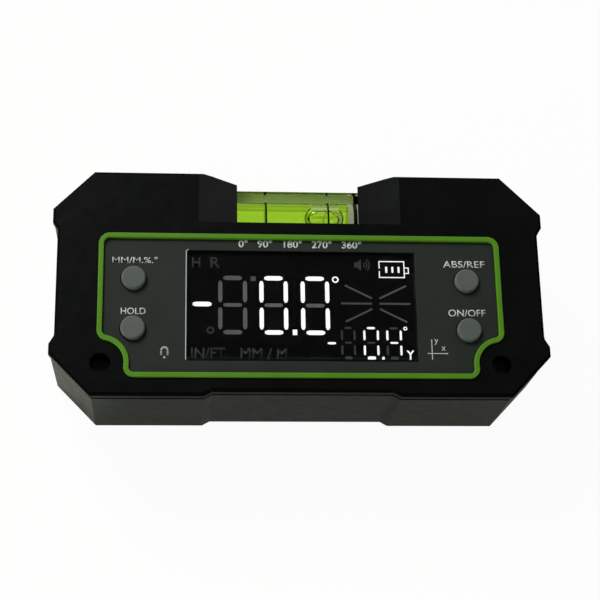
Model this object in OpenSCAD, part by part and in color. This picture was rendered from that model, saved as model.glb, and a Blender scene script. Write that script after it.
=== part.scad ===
// Digital angle gauge with a magnetic base, a segment display, four keys and a tube level.
// It lies on its back: +X runs to the right of the display, +Y towards the tube level and +Z out of
// the display. The origin is the centre of the back face. Heights are measured up from the base pads.

/* [Body] */
// Width across the side cheeks
body_w = 116.4; // [114:0.2:124]
// Height from the base pads to the top edge
body_h = 55.2; // [54:0.2:60]
// Depth from the back to the front face
body_d = 27; // [26:0.5:32]
// Wall of the rear housing
wall = 2; // [1.8:0.1:2.4]
// Width of the slanted corners
corner_w = 9.5; // [8:0.1:11]
// Height of the slanted corners at the base
low_corner_h = 9.9; // [8:0.1:11]
// Height of the slanted corners at the top
top_corner_h = 9.6; // [8:0.1:11]
// Height of the cheeks above the lower corners
low_cheek_h = 2.4; // [1:0.1:4]
// Height of the cheeks below the upper corners
top_cheek_h = 3.3; // [1:0.1:4]
// Depth of the grip recess between the cheeks
grip_depth = 1.2; // [0.4:0.1:1.6]
// Height of the slope at each end of the grip recess
grip_slope = 2; // [1:0.1:4]
// Width of the hollow between the two base pads
pad_gap = 41.8; // [38:0.2:44]
// Depth of that hollow
pad_rise = 1; // [0.4:0.1:1.4]
// Width of the slope at each end of that hollow
pad_slope = 1.8; // [1:0.1:3]

/* [Front cover] */
// Thickness of the front cover
cover_t = 2.4; // [2.1:0.1:3]
// How far the cover stands out past the housing at the sides and top
cover_overhang = 0.35; // [0.1:0.05:0.6]
// Bevel round the front edge of the cover
cover_bevel = 0.7; // [0.3:0.1:1.2]
// Height of the groove along the joint of cover and housing
groove_h = 0.8; // [0.4:0.1:1.2]
// Depth of that groove
groove_d = 0.8; // [0.3:0.1:1]
// Height of the lip that centres the cover in the housing
lip_h = 2; // [1.6:0.1:3]
// Thickness of that lip
lip_t = 1.2; // [0.8:0.1:1.6]
// Place of the two top tongues, measured from the middle
tongue_x = 38; // [32:1:42]
// Width of the top tongues
tongue_w = 6; // [3:0.5:10]
// Length of the top tongues past the lip
tongue_out = 0.8; // [0.4:0.1:1]
// Thickness of the top tongues
tongue_t = 0.8; // [0.5:0.1:1]

/* [Face] */
// Distance from the side cheeks to the green ring
ring_margin = 10.9; // [9.5:0.1:12.2]
// Height of the lower edge of the ring
ring_low_h = 4.2; // [3.5:0.1:5]
// Bar left between the ring and the vial window
window_bar = 3.1; // [2:0.1:3.5]
// Width of the ring's bead
ring_t = 1.2; // [1:0.1:1.7]
// How far the ring stands out of the cover
ring_rise = 0.5; // [0.2:0.1:1]
// Outer radius of the ring's upper corners
ring_r = 2.7; // [2.2:0.1:4]
// Radius of the ring's bays round the screw wells
bay_r = 5.4; // [4.6:0.1:5.7]
// Outer radius where the bays run into the ring's straight sides
bay_fillet = 2.4; // [1.9:0.1:2.8]
// Depth of the recess that takes the ring and the panel
face_recess = 1.3; // [1.1:0.1:1.5]
// Thickness of the grey panel
panel_t = 1; // [0.6:0.1:1.2]

/* [Display] */
// Width of the display window
display_w = 53.7; // [48:0.1:55]
// Height of the lower edge of the display window
display_low_h = 8.9; // [8.9:0.1:9.6]
// Gap between the green ring and the upper edge of the display window
display_top_gap = 2.9; // [2.2:0.1:7]
// Thickness of the clear lens
lens_t = 1.1; // [0.8:0.1:1.3]
// Bevel round the lens
lens_bevel = 0.3; // [0.1:0.1:0.5]
// Width of the ledge that carries the lens
lens_ledge = 0.7; // [0.5:0.1:1.2]
// Thickness of the display glass
lcd_t = 2; // [1.6:0.1:2.4]
// How far the display glass reaches past the window on each side
lcd_margin = 1.2; // [0.8:0.1:1.2]
// Thickness of the light block behind the glass
backlight_t = 2.5; // [2.2:0.1:3]
// Width of the contact strip beside the light block
strip_w = 2; // [1.5:0.1:2.4]

/* [Keys] */
// Diameter of a key
key_d = 5.7; // [5:0.1:6.4]
// Distance from the outside of the ring to the middle of a key
key_inset = 8.2; // [7.8:0.1:9]
// Height of the lower row of keys
key_low_h = 16; // [15.6:0.1:17]
// Distance between the two rows
key_pitch = 12.2; // [10:0.1:13]
// How far a key stands out of the panel
key_rise = 1.2; // [0.8:0.1:1.8]
// Bevel round the top of a key
key_bevel = 0.3; // [0.1:0.1:0.6]
// Travel of a key
key_travel = 0.5; // [0.3:0.1:0.6]
// Width of the flange that keeps a key in
key_flange = 0.8; // [0.5:0.1:1]
// Thickness of that flange
key_flange_t = 0.8; // [0.5:0.1:0.9]
// Side of a square key switch
switch_w = 6; // [5.5:0.1:6.2]
// Diameter of a switch plunger
plunger_d = 3.2; // [2.6:0.1:3.6]
// Length of a plunger inside its switch
plunger_in = 0.8; // [0.5:0.1:0.9]

/* [Vial] */
// Width of the vial window at the front and back faces
window_w = 48; // [44:0.5:52]
// Width of the window at the vial
throat_w = 29.4; // [26:0.2:32]
// Height of the window below the top edge
window_h = 12.7; // [11.6:0.1:12.9]
// Wall of the window's slopes, measured across the body
slope_wall = 3; // [2.4:0.1:3.6]
// Wall under the window
floor_wall = 1.8; // [1.4:0.1:2.2]
// Height of the clear block
vial_h = 12; // [11:0.2:12.4]
// Depth of the clear block
vial_d = 14; // [12:0.2:15]
// Distance from the top edge down to the clear block
vial_drop = 1.9; // [1:0.1:2.4]
// Length of the clear block inside each side wall
vial_seat = 3; // [2:0.1:4]
// Diameter of the fluid tube
tube_d = 9.4; // [7:0.1:10]
// Closed end of the tube
tube_end = 2; // [1.5:0.1:3]
// Length of the plug in the open end
plug_len = 5.2; // [4:0.1:6]
// Distance between the two black rings
mark_pitch = 15.2; // [13:0.1:18]
// Width of a black ring
mark_w = 0.5; // [0.3:0.1:0.8]
// Depth of a black ring in the wall of the tube
mark_depth = 0.2; // [0.1:0.05:0.4]
// Length of the bubble
bubble_len = 9.6; // [8:0.1:11]
// Depth of the fluid under the bubble
fluid_under = 2.2; // [1.4:0.1:3.2]
// Middle of the bubble, measured to the right
bubble_x = 6.8; // [0:0.1:7]
// Turn of the bubble round the tube, from the front towards the top edge
bubble_turn = 45; // [0:5:90]

/* [Screws] */
// Distance from the side cheeks to the screw wells
well_inset = 11.8; // [11.5:0.1:12.4]
// Height of the screw wells
well_h = 7.7; // [7.4:0.1:8]
// Diameter of the screw wells
well_d = 4.7; // [4.4:0.1:5]
// Depth of the screw wells
well_depth = 6.5; // [5:0.1:7]
// Wall round a screw well
well_wall = 1.3; // [1:0.1:1.5]
// Floor of a screw well
well_floor = 1.6; // [1.2:0.1:2.4]
// Diameter of the front screws
screw_d = 2.4; // [2:0.1:2.6]
// Length of the front screws below the head
screw_len = 14; // [10:0.5:15]
// Height of the heads of the front screws
screw_head_h = 1.8; // [1.2:0.1:2.4]
// Diameter of the board screws
board_screw_d = 1.8; // [1.6:0.1:2]
// Length of a board screw past the board
board_screw_len = 3; // [2:0.1:3.4]

/* [Base magnets] */
// Width of a magnet
magnet_w = 8; // [6:0.1:8.2]
// Thickness of a magnet
magnet_t = 4; // [3:0.1:4.2]
// Length of a magnet in the depth of the body
magnet_len = 15; // [10:0.5:16]
// Wall between and round the magnets
holder_wall = 1; // [0.8:0.1:1.2]

/* [Batteries] */
// Diameter of a cell
cell_d = 10.5; // [9.8:0.1:10.8]
// Length of a cell with its nub
cell_len = 44.5; // [42:0.1:45.5]
// Diameter of the nub
nub_d = 3.8; // [3:0.1:4.4]
// Height of the nub
nub_h = 0.9; // [0.6:0.1:1.2]
// Gap between the two cells
cell_gap = 0.6; // [0.4:0.1:1]
// Length of a pressed spring
spring_len = 5.5; // [4:0.1:7]
// Wire of a spring
spring_wire = 0.7; // [0.5:0.1:0.9]
// Turns of a spring
spring_turns = 4; // [3:1:5]
// Thickness of the contact sheet
contact_t = 0.4; // [0.3:0.1:0.6]
// Side of a square contact plate
contact_w = 8; // [6:0.1:9]
// Width of the solder tails
tail_w = 2; // [1:0.1:3]
// Thickness of the battery door
door_t = 1.8; // [1.4:0.1:2]
// How far the door lies below the back face
door_set = 0.25; // [0.2:0.05:0.4]
// Width of the ledge round the door
door_ledge = 1.4; // [1.2:0.1:2]
// Diameter of the rolled hinge edge of the door
knuckle_d = 2.1; // [2:0.1:2.4]
// Diameter of the hinge pins
hinge_pin_d = 1.4; // [1:0.1:1.5]
// Length of the hinge pins in their holes
hinge_pin_len = 1.6; // [1:0.1:1.8]
// Ceiling and side walls of the battery box
box_wall = 1.2; // [1:0.1:1.6]
// Width of the thumb hollow at the door
thumb_w = 14; // [10:0.5:18]
// Depth of the thumb hollow
thumb_depth = 0.9; // [0.6:0.1:1.2]
// Width of the latch tongue in the door
latch_w = 11; // [8:0.5:14]
// Length of the latch tongue
latch_len = 7; // [5:0.5:8]

/* [Board] */
// Thickness of the circuit board
board_t = 1.6; // [1.2:0.1:1.6]
// Board past the middle of the keys
board_margin = 5; // [4.5:0.1:6]
// Diameter of the posts that carry the board
post_d = 4.6; // [4:0.1:5]
// Gap between a post and the display glass
post_gap = 1; // [0.4:0.1:1.2]
// Side of the controller chip
chip_w = 8; // [6:0.5:10]
// Thickness of the controller chip
chip_t = 1.4; // [1:0.1:1.8]
// Side of the tilt sensor
sensor_w = 5; // [4:0.5:7]
// Thickness of the tilt sensor
sensor_t = 1.2; // [0.8:0.1:1.8]
// Diameter of the buzzer
buzzer_d = 9; // [7:0.5:10]
// Thickness of the buzzer
buzzer_t = 2.4; // [1.6:0.1:2.6]

/* [Clearances] */
// Gap round pieces that sit in a seat
fit = 0.1; // [0.05:0.05:0.15]
// Gap round the keys and the switch plungers
run_gap = 0.2; // [0.15:0.05:0.3]
// Gap round the battery door
door_gap = 0.25; // [0.2:0.05:0.35]
// Gap round the hinge pins and the screws
pin_gap = 0.08; // [0.05:0.01:0.1]
// Film between the fluid and the wall of its tube
film = 0.02; // [0.01:0.01:0.03]

/* [Hidden] */
$fn = 64;
arc_steps = 10;
cut = 1;
trace = 0.04;

black = [0.07, 0.075, 0.07];
leaf_green = [0.33, 0.53, 0.16];
panel_grey = [0.18, 0.2, 0.18];
key_grey = [0.36, 0.39, 0.36];
fluid_green = [0.62, 0.8, 0.2];
board_green = [0.1, 0.35, 0.2];
metal_grey = [0.72, 0.72, 0.7];

// Levels from the back to the front
part_z = body_d - cover_t;
floor_z = body_d - face_recess;
panel_z = floor_z + panel_t;
board_top_z = part_z - fit - lcd_t - backlight_t;
board_z = board_top_z - board_t;
key_flange_z = part_z - fit - key_flange_t;
switch_top_z = key_flange_z - key_travel - run_gap;
screw_seat_z = body_d - well_depth;
well_bottom_z = screw_seat_z - well_floor;

// Face outline
ring_x = body_w / 2 - ring_margin;
ring_low = above_base(ring_low_h);
window_floor = above_base(body_h - window_h);
ring_top = window_floor - window_bar;
well_x = body_w / 2 - well_inset;
well_y = above_base(well_h);
side_fillet_x = ring_x - bay_fillet;
side_fillet_y = well_y + sqrt(pow(bay_r + bay_fillet, 2) - pow(side_fillet_x - well_x, 2));
base_fillet_y = ring_low + bay_fillet;
base_fillet_x = well_x - sqrt(pow(bay_r + bay_fillet, 2) - pow(base_fillet_y - well_y, 2));

// Display and board
display_low = above_base(display_low_h);
display_top = ring_top - ring_t - display_top_gap;
lcd_low = display_low - lcd_margin;
lcd_high = display_top + lcd_margin;
key_x = ring_x - key_inset;
keys = [[-1, 1], [-1, 0], [1, 1], [1, 0]];
well_tube_d = well_d + 2 * well_wall;
post_x = display_w / 2 + lcd_margin + post_gap + post_d / 2;
post_ys = [lcd_low + post_d / 2, lcd_high - post_d / 2];

// Vial and its window
vial_y = above_base(body_h - vial_drop - vial_h / 2);
vial_z = body_d / 2;
vial_len = throat_w + 2 * vial_seat;
throat_z = vial_z + vial_d / 2 + fit;
slope_run = (window_w - throat_w) / 2;
seat_floor = vial_y - vial_h / 2;
bay_x = throat_w / 2 + vial_seat + fit + holder_wall;
bay_low = seat_floor - floor_wall;
fluid_start = -vial_len / 2 + tube_end;
fluid_end = vial_len / 2 - plug_len;
bubble_d = tube_d - fluid_under;

// Base magnets
magnet_low = above_base(wall);
magnet_z = wall + holder_wall;
magnet_x = pad_gap / 2 + pad_slope + holder_wall + magnet_w / 2;
magnet_pitch = magnet_w + holder_wall;
holder_top = magnet_low + magnet_t + holder_wall;

// Battery box, from the hinge side upwards
knuckle_r = knuckle_d / 2;
hinge_z = door_set + knuckle_r;
opening_low = holder_top + fit;
hinge_y = opening_low + door_gap + knuckle_r;
cell_ys = [
    for (i = [0:1]) opening_low + door_ledge + run_gap + cell_d / 2 + i * (cell_d + cell_gap)
];
box_low = opening_low + door_ledge;
box_high = cell_ys[1] + cell_d / 2 + run_gap;
opening_high = box_high + door_ledge;
box_x = (cell_len + spring_len + 2 * contact_t + fit) / 2;
opening_x = box_x + door_ledge;
box_outer_x = opening_x + hinge_pin_len + box_wall;
cell_z = door_set + door_t + run_gap + cell_d / 2;
box_top_z = cell_z + cell_d / 2 + run_gap;
board_low = holder_top + run_gap;
board_high = bay_low - run_gap;
board_x = key_x + board_margin;

function above_base(h) = h - body_h / 2;

function mirrored(half) =
    concat(half, [for (i = [len(half) - 1:-1:0]) [-half[i][0], half[i][1]]]);

// Unit normal of an edge, to the inside of an outline that runs anticlockwise
function edge_normal(a, b) =
    let (d = (b - a) / norm(b - a))
    [-d[1], d[0]];

// Outline moved inwards by t, edge by edge
function inset(points, t) = [
    for (i = [0:len(points) - 1])
        let (last = points[(i + len(points) - 1) % len(points)])
        let (next = points[(i + 1) % len(points)])
        let (n1 = edge_normal(last, points[i]))
        let (n2 = edge_normal(points[i], next))
        points[i] + t * (n1 + n2) / (1 + n1 * n2)
];

// Front outline of the body, with its sides and top set in by trim
function body_outline(trim) =
    let (side = body_w / 2 - trim)
    let (top = body_h - trim)
    mirrored([
        [pad_gap / 2, above_base(pad_rise)],
        [pad_gap / 2 + pad_slope, above_base(0)],
        [side - corner_w, above_base(0)],
        [side, above_base(low_corner_h)],
        [side, above_base(low_corner_h + low_cheek_h)],
        [side - grip_depth, above_base(low_corner_h + low_cheek_h + grip_slope)],
        [side - grip_depth, above_base(top - top_corner_h - top_cheek_h - grip_slope)],
        [side, above_base(top - top_corner_h - top_cheek_h)],
        [side, above_base(top - top_corner_h)],
        [side - corner_w, above_base(top)]
    ]);

// The same outline without the cheeks, for the inside of the housing
function core_outline() =
    let (side = body_w / 2 - cover_overhang)
    let (top = body_h - cover_overhang)
    let (share = 1 - grip_depth / corner_w)
    mirrored([
        [pad_gap / 2, above_base(pad_rise)],
        [pad_gap / 2 + pad_slope, above_base(0)],
        [side - corner_w, above_base(0)],
        [side - grip_depth, above_base(low_corner_h * share)],
        [side - grip_depth, above_base(top - top_corner_h * share)],
        [side - corner_w, above_base(top)]
    ]);

// Points along an arc, without its first and last point if inner is set
function arc(centre, r, from, to, inner = false) = [
    for (i = [(inner ? 1 : 0):arc_steps - (inner ? 1 : 0)])
        let (a = from + (to - from) * i / arc_steps)
        centre + r * [cos(a), sin(a)]
];

// Outline of the green ring, grown outwards by grow, with a bay round each screw well
function face_outline(grow) =
    let (well = [well_x, well_y])
    let (base_fillet = [base_fillet_x, base_fillet_y])
    let (side_fillet = [side_fillet_x, side_fillet_y])
    let (to_base = atan2(base_fillet_y - well_y, base_fillet_x - well_x))
    let (to_side = atan2(side_fillet_y - well_y, side_fillet_x - well_x))
    mirrored(concat(
        arc(base_fillet, bay_fillet + grow, -90, to_base + 180),
        arc(well, bay_r - grow, to_base + 360, to_side, inner = true),
        arc(side_fillet, bay_fillet + grow, to_side - 180, 0),
        arc([ring_x - ring_r, ring_top - ring_r], ring_r + grow, 0, 90)
    ));

function key_place(key) = [key[0] * key_x, above_base(key_low_h + key[1] * key_pitch), 0];

// Prisms that cut a bevel along the edges of an outline at height z. They stop just short of inner
// corners, and every second edge is cut a trace deeper, so no two bevels run into the same point.
module edge_bevel(points, z, bevel) {
    n = len(points);
    for (i = [0:n - 1]) {
        a = points[i];
        b = points[(i + 1) % n];
        size = bevel + (i % 2) * trace;
        before = cross(a - points[(i + n - 1) % n], b - a) > 0 ? size : -trace;
        after = cross(b - a, points[(i + 2) % n] - b) > 0 ? size : -trace;
        translate([a[0], a[1], z])
            rotate([0, 0, atan2(b[1] - a[1], b[0] - a[0])])
                translate([-before, 0, 0])
                    rotate([90, 0, 90])
                        linear_extrude(norm(b - a) + before + after)
                            polygon([[-cut, -size - cut], [size + cut, cut], [-cut, cut]]);
    }
}

module slab(points, z0, z1) {
    translate([0, 0, z0])
        linear_extrude(z1 - z0)
            polygon(points);
}

module block(x0, x1, y0, y1, z0, z1) {
    translate([x0, y0, z0])
        cube([x1 - x0, y1 - y0, z1 - z0]);
}

module both_sides() {
    children();
    mirror([1, 0, 0])
        children();
}

module rod_x(x0, x1, y, z, d) {
    translate([x0, y, z])
        rotate([0, 90, 0])
            cylinder(h = x1 - x0, d = d);
}

module at_wells() {
    both_sides()
        translate([well_x, well_y, 0])
            children();
}

module at_posts() {
    both_sides()
        for (y = post_ys)
            translate([post_x, y, 0])
                children();
}

// Sloped mouth of the vial window, widest at the front face
module window_mouth(grow, floor_y, top_y) {
    past = slope_run / (body_d - throat_z) * cut;
    translate([0, top_y, 0])
        rotate([90, 0, 0])
            linear_extrude(top_y - floor_y)
                polygon([
                    [throat_w / 2 + grow, throat_z],
                    [window_w / 2 + grow + past, body_d + cut],
                    [-window_w / 2 - grow - past, body_d + cut],
                    [-throat_w / 2 - grow, throat_z]
                ]);
}

// The same mouth on the back face
module rear_mouth(grow, floor_y, top_y) {
    translate([0, 0, body_d])
        mirror([0, 0, 1])
            window_mouth(grow, floor_y, top_y);
}

module housing_walls() {
    difference() {
        union() {
            slab(body_outline(cover_overhang), 0, part_z - groove_h);
            slab(inset(body_outline(cover_overhang), groove_d), part_z - groove_h - cut, part_z);
        }
        slab(inset(core_outline(), wall), wall, part_z + cut);
        both_sides()
            tongue(fit);
    }
}

// Solid round the vial's seat and the rear mouth, kept inside the outline
module vial_bay() {
    intersection() {
        slab(inset(core_outline(), wall / 2), 0, throat_z - fit);
        union() {
            block(-bay_x, bay_x, bay_low, body_h, 0, throat_z - fit);
            rear_mouth(slope_wall, window_floor - floor_wall, body_h);
        }
    }
}

module magnet_holders() {
    both_sides()
        block(
            magnet_x - magnet_w / 2 - holder_wall, magnet_x + magnet_pitch + magnet_w / 2 + holder_wall,
            magnet_low - wall / 2, holder_top, wall / 2, magnet_z + magnet_len
        );
}

module magnet_shapes(gap) {
    both_sides()
        for (i = [0:1])
            translate([magnet_x + i * magnet_pitch, 0, 0])
                block(
                    -magnet_w / 2 - gap, magnet_w / 2 + gap,
                    magnet_low, magnet_low + magnet_t + gap, magnet_z, magnet_z + magnet_len + gap
                );
}

module battery_box() {
    block(
        -box_outer_x, box_outer_x, opening_low - box_wall, opening_high + box_wall,
        wall / 2, box_top_z + box_wall
    );
}

module battery_space() {
    block(-box_x, box_x, box_low, box_high, -cut, box_top_z);
    block(-opening_x, opening_x, opening_low, opening_high, -cut, door_set + door_t + fit);
    rod_x(-opening_x, opening_x, hinge_y, hinge_z, 2 * (knuckle_r + door_gap));
    both_sides()
        rod_x(
            opening_x - cut, opening_x + hinge_pin_len + fit, hinge_y, hinge_z,
            hinge_pin_d + 2 * pin_gap
        );
    for (y = cell_ys)
        block(
            box_x - contact_t - fit, box_x, y - tail_w / 2 - fit, y + tail_w / 2 + fit,
            box_top_z - cut, box_top_z + box_wall + cut
        );
}

module thumb_hollow() {
    r = (pow(thumb_w / 2, 2) + pow(thumb_depth, 2)) / (2 * thumb_depth);
    translate([0, opening_high, thumb_depth - r])
        sphere(r = r, $fn = 96);
}

module rear_housing() {
    color(black)
        difference() {
            union() {
                housing_walls();
                vial_bay();
                magnet_holders();
                battery_box();
                at_wells()
                    translate([0, 0, wall / 2])
                        cylinder(h = well_bottom_z - wall / 2, d = well_tube_d);
            }
            rear_mouth(0, window_floor, body_h);
            window_mouth(slope_wall + fit, window_floor - floor_wall - fit, body_h);
            block(
                -throat_w / 2, throat_w / 2, window_floor, body_h, vial_z - vial_d / 2 - cut, body_d
            );
            block(
                -vial_len / 2 - fit, vial_len / 2 + fit, seat_floor, body_h,
                vial_z - vial_d / 2, body_d
            );
            magnet_shapes(fit);
            battery_space();
            thumb_hollow();
            at_wells()
                translate([0, 0, screw_seat_z - screw_len - cut])
                    cylinder(h = screw_len, d = screw_d + 2 * pin_gap);
        }
}

module cover_lip() {
    difference() {
        slab(inset(core_outline(), wall + fit), part_z - lip_h, part_z + cut);
        slab(inset(core_outline(), wall + fit + lip_t), part_z - lip_h - cut, part_z + 2 * cut);
    }
}

// Tongue that hooks the top of the cover under the housing's wall, with a gap round it
module tongue(gap) {
    lip_y = above_base(body_h - cover_overhang) - wall - fit;
    block(
        tongue_x - tongue_w / 2 - gap, tongue_x + tongue_w / 2 + gap,
        lip_y - lip_t / 2, lip_y + tongue_out + gap,
        part_z - lip_h - gap, part_z - lip_h + tongue_t + gap
    );
}

// Solid round the front mouth. Its top falls from the cover's top edge to the housing's.
module cover_funnel() {
    low = window_floor - floor_wall;
    top = above_base(body_h);
    intersection() {
        translate([-body_w / 2, 0, 0])
            rotate([90, 0, 90])
                linear_extrude(body_w)
                    polygon([
                        [low - cut, throat_z],
                        [top - cover_overhang, throat_z],
                        [top - trace, part_z],
                        [top - trace, part_z + cut],
                        [low - cut, part_z + cut]
                    ]);
        window_mouth(slope_wall, low, body_h);
    }
}

module front_cover() {
    color(black)
        difference() {
            union() {
                slab(body_outline(0), part_z, body_d);
                cover_lip();
                both_sides()
                    tongue(0);
                cover_funnel();
                at_wells()
                    translate([0, 0, well_bottom_z])
                        cylinder(h = part_z - well_bottom_z + cut, d = well_tube_d);
                at_posts()
                    translate([0, 0, board_top_z])
                        cylinder(h = part_z - board_top_z + cut, d = post_d);
            }
            edge_bevel(body_outline(0), body_d, cover_bevel);
            window_mouth(0, window_floor, body_h);
            slab(face_outline(fit), floor_z, body_d + cut);
            block(
                -display_w / 2 + lens_ledge, display_w / 2 - lens_ledge,
                display_low + lens_ledge, display_top - lens_ledge, part_z - cut, body_d
            );
            for (key = keys)
                translate(key_place(key) + [0, 0, part_z - cut])
                    cylinder(h = cover_t, d = key_d + 2 * run_gap);
            at_wells() {
                translate([0, 0, screw_seat_z])
                    cylinder(h = well_depth + cut, d = well_d);
                translate([0, 0, well_bottom_z - cut])
                    cylinder(h = well_floor + 2 * cut, d = screw_d + 2 * run_gap);
            }
            at_posts()
                translate([0, 0, board_top_z - cut])
                    cylinder(h = board_screw_len + fit + cut, d = board_screw_d + 2 * pin_gap);
        }
}

module bezel_ring() {
    color(leaf_green)
        difference() {
            slab(face_outline(0), floor_z, body_d + ring_rise);
            slab(face_outline(-ring_t), floor_z - cut, body_d + ring_rise + cut);
        }
}

module face_panel() {
    color(panel_grey)
        translate([0, 0, floor_z])
            linear_extrude(panel_t)
                difference() {
                    polygon(face_outline(-ring_t - fit));
                    translate([-display_w / 2 - fit, display_low - fit])
                        square([display_w + 2 * fit, display_top - display_low + 2 * fit]);
                    for (key = keys)
                        translate(key_place(key))
                            circle(d = key_d + 2 * run_gap);
                }
}

module display_lens() {
    edges = mirrored([[display_w / 2, display_low], [display_w / 2, display_top]]);
    color([0.1, 0.1, 0.12])
        difference() {
            slab(edges, floor_z, floor_z + lens_t);
            edge_bevel(edges, floor_z + lens_t, lens_bevel);
        }
}

module lcd_glass() {
    lcd_x = display_w / 2 + lcd_margin;
    color([0.03, 0.03, 0.05])
        block(-lcd_x, lcd_x, lcd_low, lcd_high, board_top_z + backlight_t, part_z - fit);
}

module lcd_backlight() {
    light_x = display_w / 2;
    color([0.9, 0.9, 0.86])
        block(
            -light_x, light_x, lcd_low, lcd_high - strip_w - 2 * fit,
            board_top_z, board_top_z + backlight_t
        );
}

module lcd_connector() {
    strip_x = display_w / 2 - lcd_margin;
    color([0.85, 0.55, 0.6])
        block(
            -strip_x, strip_x, lcd_high - strip_w, lcd_high,
            board_top_z, board_top_z + backlight_t
        );
}

module main_board() {
    color(board_green)
        translate([0, 0, board_z])
            linear_extrude(board_t)
                difference() {
                    translate([-board_x, board_low])
                        square([2 * board_x, board_high - board_low]);
                    at_wells()
                        circle(d = well_tube_d + 2 * run_gap);
                    at_posts()
                        circle(d = board_screw_d + 2 * run_gap);
                }
}

// Pan head screw with a cross slot, its head resting on the plane z = 0
module screw(d, length, head_d, head_h) {
    slot = head_d / 6;
    difference() {
        union() {
            translate([0, 0, -length])
                cylinder(h = length + head_h / 2, d = d);
            cylinder(h = head_h, d = head_d);
        }
        for (turn = [0, 90])
            rotate([0, 0, turn])
                translate([-head_d / 3, -slot / 2, head_h / 2])
                    cube([head_d * 2 / 3, slot, head_h]);
    }
}

module front_screws() {
    color(metal_grey)
        at_wells()
            translate([0, 0, screw_seat_z])
                screw(screw_d, screw_len, well_d - 2 * run_gap, screw_head_h);
}

module board_screws() {
    color(metal_grey)
        at_posts()
            translate([0, 0, board_z])
                mirror([0, 0, 1])
                    screw(board_screw_d, board_t + board_screw_len, post_d * 0.8, board_screw_d * 0.7);
}

module switch_bases() {
    color([0.15, 0.15, 0.16])
        for (key = keys)
            translate(key_place(key))
                difference() {
                    block(
                        -switch_w / 2, switch_w / 2, -switch_w / 2, switch_w / 2,
                        board_top_z, switch_top_z
                    );
                    translate([0, 0, switch_top_z - plunger_in - key_travel - run_gap])
                        cylinder(h = switch_top_z, d = plunger_d + 2 * run_gap);
                }
}

// Round key: a bevelled cap with a flange under the cover
module button(key) {
    top = panel_z + key_rise;
    r = key_d / 2;
    color(key_grey)
        translate(key_place(key))
            rotate_extrude()
                polygon([
                    [0, key_flange_z],
                    [r + key_flange, key_flange_z],
                    [r + key_flange, key_flange_z + key_flange_t],
                    [r, key_flange_z + key_flange_t],
                    [r, top - key_bevel],
                    [r - key_bevel, top],
                    [0, top]
                ]);
}

module plunger(key) {
    low = switch_top_z - plunger_in;
    color([0.08, 0.08, 0.08])
        translate(key_place(key) + [0, 0, low])
            cylinder(h = key_flange_z - low, d = plunger_d);
}

// Part soldered to the back of the board
module board_part(x, y, w, h, t) {
    block(x - w / 2, x + w / 2, y - h / 2, y + h / 2, board_z - t, board_z);
}

module tilt_sensor() {
    color([0.2, 0.2, 0.22])
        board_part(display_w / 4, above_base(body_h / 2), sensor_w, sensor_w, sensor_t);
}

module controller_chip() {
    color([0.1, 0.1, 0.1])
        board_part(-display_w / 4, above_base(body_h / 2), chip_w, chip_w, chip_t);
}

module buzzer() {
    color([0.12, 0.12, 0.12])
        translate([key_x - buzzer_d / 2, above_base(key_low_h + key_pitch / 2), board_z - buzzer_t])
            difference() {
                cylinder(h = buzzer_t, d = buzzer_d);
                translate([0, 0, -cut])
                    cylinder(h = cut + buzzer_t / 3, d = buzzer_d / 5);
            }
}

module battery_cells() {
    color([0.75, 0.6, 0.25])
        for (i = [0:1])
            translate([0, cell_ys[i], cell_z])
                mirror([i, 0, 0]) {
                    start = -box_x + contact_t + spring_len;
                    rod_x(start, start + cell_len - nub_h, 0, 0, cell_d);
                    rod_x(start + cell_len - nub_h - fit, start + cell_len, 0, 0, nub_d);
                }
}

// Round wire wound along +X in a cone, from x = 0 to x = length
module coil(length, big_r, small_r) {
    sides = 8;
    steps = 14 * spring_turns;
    wire_r = spring_wire / 2;
    polyhedron(
        points = [
            for (i = [0:steps], j = [0:sides - 1])
                let (t = i / steps)
                let (turn = 360 * spring_turns * t)
                let (side = 360 * j / sides)
                let (r = big_r + (small_r - big_r) * t + wire_r * cos(side))
                [
                    wire_r + (length - 2 * wire_r) * t + wire_r * sin(side),
                    r * cos(turn),
                    r * sin(turn)
                ]
        ],
        faces = concat(
            [[for (j = [0:sides - 1]) j]],
            [[for (j = [sides - 1:-1:0]) steps * sides + j]],
            [for (i = [0:steps - 1], j = [0:sides - 1]) [
                i * sides + (j + 1) % sides,
                i * sides + j,
                (i + 1) * sides + j,
                (i + 1) * sides + (j + 1) % sides
            ]]
        )
    );
}

module contact_springs() {
    color(metal_grey)
        for (i = [0:1])
            translate([0, cell_ys[i], cell_z])
                mirror([i, 0, 0])
                    translate([-box_x + contact_t, 0, 0])
                        coil(spring_len, contact_w / 2 - spring_wire, nub_d / 2 + spring_wire / 2);
}

module bridge_contact() {
    color(metal_grey)
        block(
            -box_x, -box_x + contact_t, cell_ys[0] - contact_w / 2, cell_ys[1] + contact_w / 2,
            cell_z - contact_w / 2, cell_z + contact_w / 2
        );
}

module terminal_contacts() {
    color(metal_grey)
        for (y = cell_ys) {
            block(
                box_x - contact_t, box_x, y - contact_w / 2, y + contact_w / 2,
                cell_z - contact_w / 2, cell_z + contact_w / 2
            );
            block(box_x - contact_t, box_x, y - tail_w / 2, y + tail_w / 2, cell_z, board_z);
        }
}

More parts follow.
